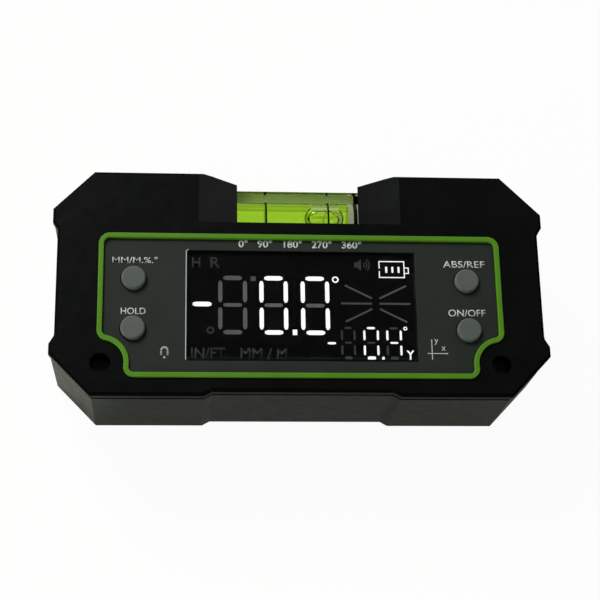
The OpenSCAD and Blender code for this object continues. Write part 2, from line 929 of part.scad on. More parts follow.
// Door in the back: a plate on a rolled hinge edge, with a latch tongue cut in its free edge
module battery_door() {
    door_x = opening_x - door_gap;
    door_high = opening_high - door_gap;
    slot = 2 * door_gap;
    color(black)
        difference() {
            union() {
                block(-door_x, door_x, hinge_y, door_high, door_set, door_set + door_t);
                rod_x(-door_x, door_x, hinge_y, hinge_z, 2 * knuckle_r);
                rod_x(
                    -opening_x - hinge_pin_len, opening_x + hinge_pin_len, hinge_y, hinge_z,
                    hinge_pin_d
                );
            }
            both_sides()
                block(
                    latch_w / 2, latch_w / 2 + slot, door_high - latch_len, door_high + cut,
                    -cut, door_t + cut
                );
            for (i = [1:3])
                rod_x(-latch_w / 3, latch_w / 3, door_high - i * latch_len / 4, door_set, door_t / 2);
        }
}

module base_magnets() {
    color(metal_grey)
        magnet_shapes(0);
}

module vial_block() {
    color([0.6, 0.7, 0.4])
        difference() {
            block(
                -vial_len / 2, vial_len / 2, seat_floor, seat_floor + vial_h,
                vial_z - vial_d / 2, vial_z + vial_d / 2
            );
            rod_x(fluid_start, vial_len / 2 + cut, vial_y, vial_z, tube_d);
            both_sides()
                rod_x(
                    mark_pitch / 2 - mark_w / 2, mark_pitch / 2 + mark_w / 2, vial_y, vial_z,
                    tube_d + 2 * mark_depth
                );
        }
}

module vial_fluid() {
    half = bubble_len / 2 - bubble_d / 2;
    rise = fluid_under / 2 + film;
    bubble_y = vial_y + rise * sin(bubble_turn);
    bubble_z = vial_z + rise * cos(bubble_turn);
    color(fluid_green)
        difference() {
            rod_x(fluid_start + film, fluid_end - film, vial_y, vial_z, tube_d - 2 * film);
            rod_x(bubble_x - half, bubble_x + half, bubble_y, bubble_z, bubble_d);
            for (x = [bubble_x - half, bubble_x + half])
                translate([x, bubble_y, bubble_z])
                    sphere(d = bubble_d);
        }
}

module vial_rings() {
    color([0.02, 0.02, 0.02])
        both_sides()
            difference() {
                rod_x(
                    mark_pitch / 2 - mark_w / 2 + film, mark_pitch / 2 + mark_w / 2 - film,
                    vial_y, vial_z, tube_d + 2 * mark_depth - 2 * film
                );
                rod_x(mark_pitch / 2 - mark_w, mark_pitch / 2 + mark_w, vial_y, vial_z, tube_d);
            }
}

module vial_plug() {
    color([0.85, 0.88, 0.82])
        rod_x(fluid_end, vial_len / 2, vial_y, vial_z, tube_d - 2 * film);
}

rear_housing();
front_cover();
bezel_ring();
face_panel();
display_lens();
lcd_glass();
lcd_backlight();
lcd_connector();
main_board();
board_screws();
switch_bases();
button(keys[0]);  // button_units
button(keys[1]);  // button_hold
button(keys[2]);  // button_reference
button(keys[3]);  // button_power
plunger(keys[0]);  // plunger_units
plunger(keys[1]);  // plunger_hold
plunger(keys[2]);  // plunger_reference
plunger(keys[3]);  // plunger_power
tilt_sensor();
controller_chip();
buzzer();
battery_cells();
contact_springs();
bridge_contact();
terminal_contacts();
battery_door();
base_magnets();
front_screws();
vial_block();
vial_fluid();
vial_rings();
vial_plug();
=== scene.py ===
"""Looks of a digital angle gauge: moulded body, green ring, key panel, lit display and tube level."""

import math

import bmesh
import bpy
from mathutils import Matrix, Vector


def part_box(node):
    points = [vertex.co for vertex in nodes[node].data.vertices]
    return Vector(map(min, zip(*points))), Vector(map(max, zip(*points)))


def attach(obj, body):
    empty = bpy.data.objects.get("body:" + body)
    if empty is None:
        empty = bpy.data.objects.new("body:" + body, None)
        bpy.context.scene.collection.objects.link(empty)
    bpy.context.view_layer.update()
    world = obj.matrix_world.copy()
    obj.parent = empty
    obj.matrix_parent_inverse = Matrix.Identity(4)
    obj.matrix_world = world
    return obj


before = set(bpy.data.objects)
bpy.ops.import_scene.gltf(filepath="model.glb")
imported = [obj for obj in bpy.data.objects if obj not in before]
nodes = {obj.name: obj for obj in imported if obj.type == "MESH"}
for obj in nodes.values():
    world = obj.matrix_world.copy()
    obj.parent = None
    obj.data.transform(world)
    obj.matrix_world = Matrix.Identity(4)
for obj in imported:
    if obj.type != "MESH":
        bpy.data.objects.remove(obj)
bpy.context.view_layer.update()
scene = bpy.context.scene

MM = 0.001
BODY = "gauge_body"
KEY_NAMES = ["button_units", "button_hold", "button_reference", "button_power"]

# Camera, in millimetres and degrees
CAMERA_AT = Vector((-29.17, -121.53, 359.64))
CAMERA_TURN = (19.325, -4.935, -1.114)
CAMERA_LENS = 91.08

# Levels of the frame, in millimetres
FRONT_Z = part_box("front_cover")[1].z / MM
BASE_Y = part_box("front_cover")[0].y / MM
PANEL_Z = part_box("face_panel")[1].z / MM
LENS_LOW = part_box("display_lens")[0] / MM
LENS_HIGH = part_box("display_lens")[1] / MM
LENS_IOR = 1.49

# Thickness of printed ink and of the display's layers, in millimetres
INK = 0.02
MASK_Z = LENS_LOW.z + 0.02
SEGMENT_Z = MASK_Z + 0.06

# Part of a source's range over which numbers and colours blend
BLEND_FROM, BLEND_TO = 0.3, 0.7


# Node helpers

def new_material(name):
    """Empty material and its shader."""
    material = bpy.data.materials.new(name)
    material.use_nodes = True
    tree = material.node_tree
    tree.nodes.clear()
    output = tree.nodes.new("ShaderNodeOutputMaterial")
    shader = tree.nodes.new("ShaderNodeBsdfPrincipled")
    tree.links.new(shader.outputs["BSDF"], output.inputs["Surface"])
    return material, shader


def shader_of(material):
    return next(node for node in material.node_tree.nodes if node.type == "BSDF_PRINCIPLED")


def noise(material, size_mm, detail=2.0, stretch=(1, 1, 1)):
    """Noise with features of about size_mm, fixed to the object."""
    tree = material.node_tree
    place = tree.nodes.new("ShaderNodeTexCoord")
    scale = tree.nodes.new("ShaderNodeMapping")
    scale.inputs["Scale"].default_value = stretch
    texture = tree.nodes.new("ShaderNodeTexNoise")
    texture.inputs["Scale"].default_value = 1 / (size_mm * MM)
    texture.inputs["Detail"].default_value = detail
    tree.links.new(place.outputs["Object"], scale.inputs["Vector"])
    tree.links.new(scale.outputs["Vector"], texture.inputs["Vector"])
    return texture.outputs["Fac"]


def vary(material, source, socket, low, high):
    """Drives a number socket between low and high."""
    tree = material.node_tree
    spread = tree.nodes.new("ShaderNodeMapRange")
    spread.inputs["From Min"].default_value = BLEND_FROM
    spread.inputs["From Max"].default_value = BLEND_TO
    spread.inputs["To Min"].default_value = low
    spread.inputs["To Max"].default_value = high
    tree.links.new(source, spread.inputs["Value"])
    tree.links.new(spread.outputs["Result"], socket)


def tint(material, source, socket, first, last):
    """Drives a colour socket between two colours, and returns the ramp for bands between them."""
    tree = material.node_tree
    ramp = tree.nodes.new("ShaderNodeValToRGB")
    ramp.color_ramp.elements[0].position = BLEND_FROM
    ramp.color_ramp.elements[0].color = (*first, 1)
    ramp.color_ramp.elements[1].position = BLEND_TO
    ramp.color_ramp.elements[1].color = (*last, 1)
    tree.links.new(source, ramp.inputs["Fac"])
    tree.links.new(ramp.outputs["Color"], socket)
    return ramp.color_ramp


def bump(material, shader, source, height_mm, strength):
    """Fine relief on a surface, without changing its shape."""
    tree = material.node_tree
    relief = tree.nodes.new("ShaderNodeBump")
    relief.inputs["Strength"].default_value = strength
    relief.inputs["Distance"].default_value = height_mm * MM
    tree.links.new(source, relief.inputs["Height"])
    tree.links.new(relief.outputs["Normal"], shader.inputs["Normal"])


def number(owner, operation, first, second):
    """Result of a sum on two numbers in a node tree, of which the second may be fixed."""
    tree = owner.node_tree
    step = tree.nodes.new("ShaderNodeMath")
    step.operation = operation
    tree.links.new(first, step.inputs[0])
    if isinstance(second, (int, float)):
        step.inputs[1].default_value = second
    else:
        tree.links.new(second, step.inputs[1])
    return step.outputs["Value"]


def switch(material, source, socket, low, high):
    """Sets a number socket to low where the source is nought and to high where it is one."""
    tree = material.node_tree
    pick = tree.nodes.new("ShaderNodeMapRange")
    pick.inputs["To Min"].default_value = low
    pick.inputs["To Max"].default_value = high
    tree.links.new(source, pick.inputs["Value"])
    tree.links.new(pick.outputs["Result"], socket)


def distance(material, steps):
    """Object coordinates put through vector sums, of which the last gives a length."""
    tree = material.node_tree
    last = tree.nodes.new("ShaderNodeTexCoord").outputs["Object"]
    for operation, values in steps:
        step = tree.nodes.new("ShaderNodeVectorMath")
        step.operation = operation
        if values is not None:
            step.inputs[1].default_value = values
        tree.links.new(last, step.inputs[0])
        last = step.outputs["Value" if operation == "LENGTH" else "Vector"]
    return last


def off_axis(material, node, radius_mm):
    """One where a surface lies further than radius_mm from the long axis of a node, else nought."""
    low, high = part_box(node)
    away = distance(material, (
        ("SUBTRACT", (low + high) / 2), ("MULTIPLY", (0, 1, 1)), ("LENGTH", None),
    ))
    return number(material, "GREATER_THAN", away, radius_mm * MM)


def between(material, x0_mm, x1_mm):
    """One where a surface lies between two places along the x axis, else nought."""
    tree = material.node_tree
    place = tree.nodes.new("ShaderNodeTexCoord")
    parts = tree.nodes.new("ShaderNodeSeparateXYZ")
    tree.links.new(place.outputs["Object"], parts.inputs["Vector"])
    past_first = number(material, "GREATER_THAN", parts.outputs["X"], x0_mm * MM)
    past_last = number(material, "GREATER_THAN", parts.outputs["X"], x1_mm * MM)
    return number(material, "SUBTRACT", past_first, past_last)


def slanted(material, limit):
    """One where a clear surface is seen at a slant, as at the outline of a bubble, else nought."""
    weight = material.node_tree.nodes.new("ShaderNodeLayerWeight")
    return number(material, "GREATER_THAN", weight.outputs["Facing"], limit)


def far_side(material):
    """One where a surface is seen from inside the solid, else nought."""
    return material.node_tree.nodes.new("ShaderNodeNewGeometry").outputs["Backfacing"]


def by_slope(material, socket, wall, bevel, front):
    """Sets a number socket on upright walls, on bevels and on what faces the front."""
    bevel_from, front_from = 0.25, 0.75
    tree = material.node_tree
    place = tree.nodes.new("ShaderNodeTexCoord")
    parts = tree.nodes.new("ShaderNodeSeparateXYZ")
    steps = tree.nodes.new("ShaderNodeValToRGB")
    steps.color_ramp.interpolation = "CONSTANT"
    steps.color_ramp.elements[0].color = (wall, wall, wall, 1)
    steps.color_ramp.elements[1].position = front_from
    steps.color_ramp.elements[1].color = (front, front, front, 1)
    steps.color_ramp.elements.new(bevel_from).color = (bevel, bevel, bevel, 1)
    tree.links.new(place.outputs["Normal"], parts.inputs["Vector"])
    tree.links.new(parts.outputs["Z"], steps.inputs["Fac"])
    tree.links.new(steps.outputs["Color"], socket)


# Materials

def moulded(name, dark, light, rough, grain_mm, relief, specular=0.5):
    """Moulded plastic: cloudy colour, uneven gloss and a fine grain from the mould."""
    material, shader = new_material(name)
    tint(material, noise(material, 9), shader.inputs["Base Color"], dark, light)
    vary(material, noise(material, 2.5, 4), shader.inputs["Roughness"], *rough)
    bump(material, shader, noise(material, grain_mm, 3), 0.02, relief)
    shader.inputs["Specular IOR Level"].default_value = specular
    return material


def clear(name, colour, ior, rough):
    """Clear plastic or fluid with faint waves in its polish."""
    material, shader = new_material(name)
    shader.inputs["Base Color"].default_value = (*colour, 1)
    shader.inputs["Transmission Weight"].default_value = 1
    shader.inputs["IOR"].default_value = ior
    vary(material, noise(material, 4), shader.inputs["Roughness"], *rough)
    return material


def metal(name, dark, light, rough, stretch):
    """Metal with fine lines that run along one way."""
    material, shader = new_material(name)
    lines = noise(material, 0.4, 3, stretch)
    tint(material, lines, shader.inputs["Base Color"], dark, light)
    vary(material, lines, shader.inputs["Roughness"], *rough)
    shader.inputs["Metallic"].default_value = 1
    return material


LIT_BASE = (0.3, 0.3, 0.3)


def lit(name, colour, strength):
    """Surface that gives off light, a little uneven from place to place: the display's backlight, and painted
    light on the lens edge and the plug.
    """
    material, shader = new_material(name)
    shader.inputs["Base Color"].default_value = (*LIT_BASE, 1)
    shader.inputs["Emission Color"].default_value = (*colour, 1)
    vary(material, noise(material, 6), shader.inputs["Emission Strength"], 0.96 * strength, strength)
    vary(material, noise(material, 1), shader.inputs["Roughness"], 0.4, 0.6)
    return material


BLACK_GLOSS = 0.11
BLACK, COVER = (
    moulded(
        name, (0.0032, 0.0039, 0.0035), (0.0046, 0.0053, 0.0048), (0.3, 0.37), 0.22, 0.1, specular=BLACK_GLOSS
    )
    for name in ("black_plastic", "cover_plastic")
)
GREEN = moulded(
    "green_plastic", (0.094, 0.28, 0.0105), (0.11, 0.31, 0.0125), (0.36, 0.44), 0.3, 0.12, specular=0.3
)
PANEL = moulded(
    "panel_film", (0.0212, 0.0272, 0.0222), (0.0246, 0.0306, 0.0254), (0.48, 0.58), 0.12, 0.2, specular=0.2
)
KEYS = moulded(
    "key_rubber", (0.105, 0.122, 0.105), (0.125, 0.142, 0.125), (0.52, 0.62), 0.15, 0.2, specular=0.25
)
PALE_INK = moulded("pale_ink", (0.4, 0.41, 0.395), (0.46, 0.47, 0.455), (0.5, 0.6), 0.1, 0.1)
WHITE_INK = moulded("white_ink", (0.62, 0.64, 0.61), (0.74, 0.76, 0.73), (0.5, 0.6), 0.1, 0.1)
LENS = clear("lens_acrylic", (0.97, 0.98, 1.0), LENS_IOR, (0.01, 0.03))
MASK = moulded(
    "display_black", (0.0012, 0.0014, 0.0022), (0.002, 0.0022, 0.0032), (0.3, 0.4), 0.3, 0.02, specular=0.16
)
LIT = lit("segment_lit", (1.0, 1.0, 1.0), 1.0)
UNLIT = moulded("segment_unlit", (0.25, 0.255, 0.225), (0.28, 0.285, 0.25), (0.5, 0.6), 0.2, 0.05)
LINES = moulded("segment_line", (0.17, 0.173, 0.165), (0.19, 0.193, 0.185), (0.5, 0.6), 0.2, 0.05)
FAINT = moulded("segment_faint", (0.082, 0.084, 0.08), (0.094, 0.096, 0.092), (0.5, 0.6), 0.2, 0.05)
# Painted highlight: a pale glowing line for the glint on the display lens's left edge
PAINTED_LENS_GLINT = lit("painted_lens_glint", (1.0, 1.0, 1.0), 0.27)
ACRYLIC_COLOUR = (0.36, 0.49, 0.155)
ACRYLIC = clear("vial_acrylic", ACRYLIC_COLOUR, 1.49, (0.01, 0.03))
FLUID_COLOUR = (0.7, 0.9, 0.15)
FLUID_IOR = 1.36
FLUID = clear("vial_fluid", FLUID_COLOUR, FLUID_IOR, (0.0, 0.01))
# The plug glows: painted light, standing in for the daylight that reaches it through the acrylic
PLUG_GLOW_COLOUR = (0.86, 0.8, 1.0)
PLUG = lit("vial_plug", PLUG_GLOW_COLOUR, 0.42)
MARKS = moulded("vial_mark", (0.004, 0.004, 0.004), (0.007, 0.007, 0.007), (0.4, 0.5), 0.2, 0.05)
STEEL = metal("plated_steel", (0.36, 0.36, 0.35), (0.5, 0.5, 0.48), (0.25, 0.4), (1, 1, 12))
MAGNET = metal("nickel", (0.55, 0.55, 0.53), (0.68, 0.68, 0.66), (0.2, 0.32), (12, 1, 1))
BOARD = moulded("solder_mask", (0.012, 0.11, 0.04), (0.02, 0.16, 0.06), (0.3, 0.42), 0.3, 0.1)
CHIP = moulded("chip_epoxy", (0.01, 0.01, 0.011), (0.017, 0.017, 0.018), (0.5, 0.62), 0.15, 0.2)
LIGHT_BLOCK = moulded("milky_plastic", (0.72, 0.72, 0.68), (0.8, 0.8, 0.76), (0.35, 0.45), 0.3, 0.05)
STRIP = moulded("contact_rubber", (0.5, 0.2, 0.24), (0.58, 0.26, 0.3), (0.6, 0.7), 0.2, 0.1)
JACKET = moulded("cell_jacket", (0.34, 0.22, 0.05), (0.4, 0.27, 0.07), (0.25, 0.35), 0.5, 0.03)

# The black plastic's gloss is a little green. The cover's gloss is turned down on its rim and off on its
# bevels so that they show dark: painted shade, as on a rounder edge that turns from the light
for material in (BLACK, COVER):
    shader_of(material).inputs["Specular Tint"].default_value = (0.93, 1, 0.94, 1)
by_slope(
    COVER, shader_of(COVER).inputs["Specular IOR Level"], wall=BLACK_GLOSS / 2, bevel=0, front=BLACK_GLOSS
)


# Tube level, in millimetres and degrees

TUBE_R = (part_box("vial_fluid")[1].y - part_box("vial_fluid")[0].y) / 2 / MM

# The bubble: its middle, its distance off the tube's axis and half the length of its straight part,
# with the reach of the glint on it and the glint's turn from the front towards the top edge
BUBBLE_X = 6.8
BUBBLE_RISE = 1.12
BUBBLE_HALF = 1.2
GLINT_REACH = 4.25
GLINT_TURN = 15

# Start and end of a painted shadow band at the end of the tube, where the gap beside the block lies in shade,
# from the plug's inner face
PLUG_SHADOW_BAND = (1.3, 2.25)


def near_bubble(material, reach_mm, turn_deg):
    """One within reach_mm of a line beside the tube's axis, as long as the bubble, else nought."""
    low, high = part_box("vial_fluid")
    turn = math.radians(turn_deg)
    middle = (low + high) / 2
    middle.x = BUBBLE_X * MM
    middle += Vector((0, math.sin(turn), math.cos(turn))) * BUBBLE_RISE * MM
    away = distance(material, (
        ("SUBTRACT", middle), ("ABSOLUTE", None), ("SUBTRACT", (BUBBLE_HALF * MM, 0, 0)),
        ("MAXIMUM", (0, 0, 0)), ("LENGTH", None),
    ))
    return number(material, "LESS_THAN", away, reach_mm * MM)


def finish_block():
    """Hides the bore, which the fluid wets, but for a glint on the bubble, and paints shade along the long
    edges, where the acrylic bends the light away.
    """
    past_bore, past_grooves, edge_width = 0.1, 0.5, 0.33
    shader = shader_of(ACRYLIC)
    outside = off_axis(ACRYLIC, "vial_fluid", TUBE_R + past_grooves)
    grooves = off_axis(ACRYLIC, "vial_fluid", TUBE_R + past_bore)
    glint = number(ACRYLIC, "GREATER_THAN", near_bubble(ACRYLIC, GLINT_REACH, GLINT_TURN), grooves)
    switch(ACRYLIC, number(ACRYLIC, "MAXIMUM", outside, glint), shader.inputs["Alpha"], 0, 1)
    size = (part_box("vial_block")[1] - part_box("vial_block")[0]) / MM
    shaded_edges = off_axis(ACRYLIC, "vial_fluid", math.hypot(size.y, size.z) / 2 - edge_width)
    shades = number(ACRYLIC, "MULTIPLY", number(ACRYLIC, "ADD", outside, shaded_edges), 0.5)
    # Painted shade: near black along the long edges of the block
    bands = tint(ACRYLIC, shades, shader.inputs["Base Color"], (1, 1, 1), (0.02, 0.03, 0.01))
    bands.elements.new(0.5).color = (*ACRYLIC_COLOUR, 1)


def finish_fluid():
    """Bends light against the acrylic at the tube and against air at the bubble, paints the bubble's outline
    dark as painted shade, and lets the far wall glow: the dye's own glow in daylight, and painted light for
    what shines through."""
    wall_depth, outline_slant, ior_in_acrylic, glow = 0.03, 0.57, 0.92, 0.47
    shader = shader_of(FLUID)
    wall = off_axis(FLUID, "vial_fluid", TUBE_R - wall_depth)
    outline = number(FLUID, "GREATER_THAN", slanted(FLUID, outline_slant), wall)
    shades = number(FLUID, "MAXIMUM", wall, number(FLUID, "MULTIPLY", outline, 0.5))
    bands = tint(FLUID, shades, shader.inputs["Base Color"], (1, 1, 1), FLUID_COLOUR)
    # Painted shade: the bubble's outline in opaque near black green, where it would mirror the dark
    bands.elements.new(0.5).color = (0.01, 0.05, 0.004, 1)
    switch(FLUID, outline, shader.inputs["Transmission Weight"], 1, 0)
    switch(FLUID, wall, shader.inputs["IOR"], FLUID_IOR, ior_in_acrylic)
    # Painted light: the fluid's far wall glows, partly for the dye's own glow and partly for light through
    # the tube
    far_wall = number(FLUID, "MULTIPLY", wall, far_side(FLUID))
    switch(FLUID, far_wall, shader.inputs["Emission Strength"], 0, glow)
    shader.inputs["Emission Color"].default_value = (0.74, 1.0, 0.2, 1)


def finish_plug():
    """Paints a shadow band on the plug, where the gap at the end of the tube lies in shade."""
    shader = shader_of(PLUG)
    inner_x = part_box("vial_plug")[0].x / MM
    painted_gap_shadow = between(PLUG, inner_x + PLUG_SHADOW_BAND[0], inner_x + PLUG_SHADOW_BAND[1])
    # Painted shadow: no glow and a near black base in the band
    tint(PLUG, painted_gap_shadow, shader.inputs["Emission Color"], PLUG_GLOW_COLOUR, (0, 0, 0))
    tint(PLUG, painted_gap_shadow, shader.inputs["Base Color"], LIT_BASE, (0.004, 0.004, 0.004))


finish_block()
finish_fluid()
finish_plug()


# Materials of the nodes

FINISHES = {
    BLACK: ["rear_housing", "battery_door"],
    COVER: ["front_cover"],
    GREEN: ["bezel_ring"],
    PANEL: ["face_panel"],
    KEYS: KEY_NAMES,
    LENS: ["display_lens"],
    MASK: ["lcd_glass"],
    LIGHT_BLOCK: ["lcd_backlight"],
    STRIP: ["lcd_connector"],
    BOARD: ["main_board"],
    CHIP: [
        "switch_bases", "tilt_sensor", "controller_chip", "buzzer",
        "plunger_units", "plunger_hold", "plunger_reference", "plunger_power",
    ],
    STEEL: ["board_screws", "front_screws", "contact_springs", "bridge_contact", "terminal_contacts"],
    JACKET: ["battery_cells"],
    MAGNET: ["base_magnets"],
    ACRYLIC: ["vial_block"],
    FLUID: ["vial_fluid"],
    PLUG: ["vial_plug"],
    MARKS: ["vial_rings"],
}

for finish, names in FINISHES.items():
    for name in names:
        nodes[name].data.materials.clear()
        nodes[name].data.materials.append(finish)


# Rounded edges of the moulded pieces

def soften(name, radius_mm, angle_deg=35, segments=3):
    """Rounds a node's sharp edges and shades its flat faces flat."""
    piece = nodes[name]
    weld = piece.modifiers.new("weld", "WELD")
    weld.merge_threshold = 1e-6
    flat = piece.modifiers.new("flat", "DECIMATE")
    flat.decimate_type = "DISSOLVE"
    flat.angle_limit = math.radians(0.5)
    edge = piece.modifiers.new("edge", "BEVEL")
    edge.width = radius_mm * MM
    edge.segments = segments
    edge.limit_method = "ANGLE"
    edge.angle_limit = math.radians(angle_deg)
    edge.harden_normals = True
    piece.modifiers.new("shade", "WEIGHTED_NORMAL").keep_sharp = True


EDGE_RADII = {
    "front_cover": 0.08, "rear_housing": 0.3, "battery_door": 0.2, "bezel_ring": 0.2, "face_panel": 0.1,
    **dict.fromkeys(KEY_NAMES, 0.15),
}
for name, radius in EDGE_RADII.items():
    soften(name, radius)


# Flat printed shapes, given as (x, height above the base) seen on the front plane

def sight(x, height, z):
    """The point at level z that the camera sees at (x, height) of the front plane."""
    share = (CAMERA_AT.z - z) / (CAMERA_AT.z - FRONT_Z)
    return (
        CAMERA_AT.x + (x - CAMERA_AT.x) * share,
        CAMERA_AT.y + (height + BASE_Y - CAMERA_AT.y) * share,
    )


def box_outline(x0, x1, y0, y1):
    """Upright rectangle."""
    return [(x0, y0), (x1, y0), (x1, y1), (x0, y1)]


def line_outline(x0, y0, x1, y1, width):
    """Straight line of a width between two points."""
    along = Vector((x1 - x0, y1 - y0)).normalized() * width / 2
    side = Vector((-along.y, along.x))
    a, b = Vector((x0, y0)), Vector((x1, y1))
    return [tuple(a - side), tuple(b - side), tuple(b + side), tuple(a + side)]


def disc_outline(x, y, radius, steps=12):
    """Round dot."""
    turns = [2 * math.pi * i / steps for i in range(steps)]
    return [(x + radius * math.cos(t), y + radius * math.sin(t)) for t in turns]


def arc_outline(x, y, outer, inner, first_deg, last_deg, steps=12):
    """Curved band between two ovals, each given by its half width and half height."""
    turns = [math.radians(first_deg + (last_deg - first_deg) * i / steps) for i in range(steps + 1)]
    band = [(x + outer[0] * math.cos(t), y + outer[1] * math.sin(t)) for t in turns]
    band += [(x + inner[0] * math.cos(t), y + inner[1] * math.sin(t)) for t in reversed(turns)]
    return band


def add_outline(bm, outline):
    """Adds one flat face."""
    bm.faces.new([bm.verts.new((x, y, 0)) for x, y in outline])


def add_ring(bm, x, y, outer, inner, steps=24):
    """Adds a flat ring."""
    turns = [2 * math.pi * i / steps for i in range(steps)]
    loops = [
        [bm.verts.new((x + r * math.cos(t), y + r * math.sin(t), 0)) for t in turns]
        for r in (outer, inner)
    ]
    for i in range(steps):
        j = (i + 1) % steps
        bm.faces.new((loops[0][i], loops[0][j], loops[1][j], loops[1][i]))


def add_text(bm, words, x0, x1, y0, y1, weight=0.0):
    """Words in the built-in letters, drawn to fill a box."""
    curve = bpy.data.curves.new("words", "FONT")
    curve.body = words
    curve.offset = weight
    letters = bpy.data.objects.new("words", curve)
    scene.collection.objects.link(letters)
    mesh = bpy.data.meshes.new_from_object(letters.evaluated_get(bpy.context.evaluated_depsgraph_get()))
    bpy.data.objects.remove(letters)
    low = [min(v.co[i] for v in mesh.vertices) for i in (0, 1)]
    high = [max(v.co[i] for v in mesh.vertices) for i in (0, 1)]
    for v in mesh.vertices:
        v.co.x = x0 + (v.co.x - low[0]) * (x1 - x0) / (high[0] - low[0])
        v.co.y = y0 + (v.co.y - low[1]) * (y1 - y0) / (high[1] - low[1])
    bm.from_mesh(mesh)
    bpy.data.meshes.remove(mesh)


def printed(name, bm, z, material, seen_z=None):
    """Gives flat shapes a thickness above level z and puts them where the camera sees them."""
    bmesh.ops.remove_doubles(bm, verts=bm.verts, dist=1e-5)
    for v in bm.verts:
        v.co.x, v.co.y = sight(v.co.x, v.co.y, z if seen_z is None else seen_z)
        v.co.z = z
    up = bmesh.ops.extrude_face_region(bm, geom=bm.faces[:])
    raised = [v for v in up["geom"] if isinstance(v, bmesh.types.BMVert)]
    bmesh.ops.translate(bm, verts=raised, vec=(0, 0, INK))
    bmesh.ops.recalc_face_normals(bm, faces=bm.faces)
    bmesh.ops.scale(bm, vec=(MM, MM, MM), verts=bm.verts)
    mesh = bpy.data.meshes.new(name)
    bm.to_mesh(mesh)
    bm.free()
    piece = bpy.data.objects.new(name, mesh)
    scene.collection.objects.link(piece)
    mesh.materials.append(material)
    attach(piece, BODY)


# Print on the key panel

# Words, their left, right, lower and upper edge, and the weight added to the letters
LABELS = {
    "label_scale": ("0°   90°   180°   270°   360°", -14.7, 14.4, 36.1, 38.1, 0.022),
    "label_units": ("MM/M.%.°", -44.1, -33.6, 31.9, 33.5, 0.008),
    "label_hold": ("HOLD", -41.9, -36.2, 19.3, 20.9, 0.008),
    "label_reference": ("ABS/REF", 33.7, 43.7, 31.6, 33.3, 0.008),
    "label_power": ("ON/OFF", 34.4, 43.2, 19.4, 21.1, 0.008),
}
for name, (words, x0, x1, y0, y1, weight) in LABELS.items():
    bm = bmesh.new()
    add_text(bm, words, x0, x1, y0, y1, weight)
    printed(name, bm, PANEL_Z, WHITE_INK)

# Magnet sign: a horseshoe with two stripes below each leg, over a dot
MAGNET_X, MAGNET_Y = -31.8, 10.65
MAGNET_OUTER = (0.95, 1.0)
MAGNET_INNER = (0.52, 0.55)
bm = bmesh.new()
add_outline(bm, arc_outline(MAGNET_X, MAGNET_Y, MAGNET_OUTER, MAGNET_INNER, 0, 180))
for x0, x1 in (
    (MAGNET_X - MAGNET_OUTER[0], MAGNET_X - MAGNET_INNER[0]),
    (MAGNET_X + MAGNET_INNER[0], MAGNET_X + MAGNET_OUTER[0]),
):
    for top, bottom in ((0.15, 0.65), (0.8, 1.1)):
        add_outline(bm, box_outline(x0, x1, MAGNET_Y - bottom, MAGNET_Y - top))
add_outline(bm, disc_outline(MAGNET_X, MAGNET_Y - 1.65, 0.3))
printed("magnet_symbol", bm, PANEL_Z, PALE_INK)

# Axes sign: two thin lines with arrowheads, and their letters
AXES_X, AXES_Y = 30.1, 10.3
AXES_WIDTH = 0.18
ARROW_HALF, ARROW_LONG = 0.2, 0.5
bm = bmesh.new()
add_outline(bm, line_outline(AXES_X, 8.8, AXES_X, 13.4, AXES_WIDTH))
add_outline(bm, line_outline(29.0, AXES_Y, 33.4, AXES_Y, AXES_WIDTH))
add_outline(bm, [(AXES_X - ARROW_HALF, 13.3), (AXES_X + ARROW_HALF, 13.3), (AXES_X, 13.3 + ARROW_LONG)])
add_outline(bm, [(33.4, AXES_Y - ARROW_HALF), (33.4, AXES_Y + ARROW_HALF), (33.4 + ARROW_LONG, AXES_Y)])
add_text(bm, "y", 30.75, 31.65, 12.4, 13.8)
add_text(bm, "x", 32.35, 33.3, 11.0, 12.0)
printed("axes_symbol", bm, PANEL_Z, WHITE_INK)


# Display

def segment(x0, x1, y0, y1):
    """Segment that narrows to its tips, lying or standing by its longer side."""
    wide, high = x1 - x0, y1 - y0
    size = min(wide, high)
    tip, blunt = 0.6 * size, 0.25 * size
    if wide > high:
        return [
            (x0, y0 + blunt), (x0 + tip, y0), (x1 - tip, y0), (x1, y0 + blunt),
            (x1, y1 - blunt), (x1 - tip, y1), (x0 + tip, y1), (x0, y1 - blunt),
        ]
    return [
        (x0 + blunt, y0), (x1 - blunt, y0), (x1, y0 + tip), (x1, y1 - tip),
        (x1 - blunt, y1), (x0 + blunt, y1), (x0, y1 - tip), (x0, y0 + tip),
    ]


def digit(x0, x1, y0, y1, width, inset, split, reach):
    """The seven segments of a figure, by their usual letters."""
    mid = (y0 + y1) / 2
    low = (y0 + inset, mid - split / 2)
    high = (mid + split / 2, y1 - inset)
    inner = (x0 + reach, x1 - reach)
    return {
        "a": segment(*inner, y1 - 1.1 * width, y1),
        "b": segment(x1 - width, x1, *high),
        "c": segment(x1 - width, x1, *low),
        "d": segment(*inner, y0, y0 + 1.1 * width),
        "e": segment(x0, x0 + width, *low),
        "f": segment(x0, x0 + width, *high),
        "g": segment(*inner, mid - 0.45 * width, mid + 0.45 * width),
    }


FIGURES = {"0": "abcdef", "4": "bcfg", "": ""}
BIG = {"y0": 14.6, "y1": 29.0, "width": 0.98, "inset": 1.27, "split": 1.35, "reach": 1.2}
SMALL = {"y0": 8.95, "y1": 16.65, "width": 0.5, "inset": 0.82, "split": 1.25, "reach": 0.88}

# Each figure with its left and right edge and its size
FIGURE_PLACES = [
    ("", -19.35, -12.63, BIG), ("0", -9.77, -3.12, BIG), ("0", -0.12, 6.6, BIG),
    ("", 9.05, 12.47, SMALL), ("0", 14.28, 17.93, SMALL), ("4", 19.65, 23.3, SMALL),
]

# All segments are moved a little to the left of the places given for them
SEGMENT_SHIFT = -0.15

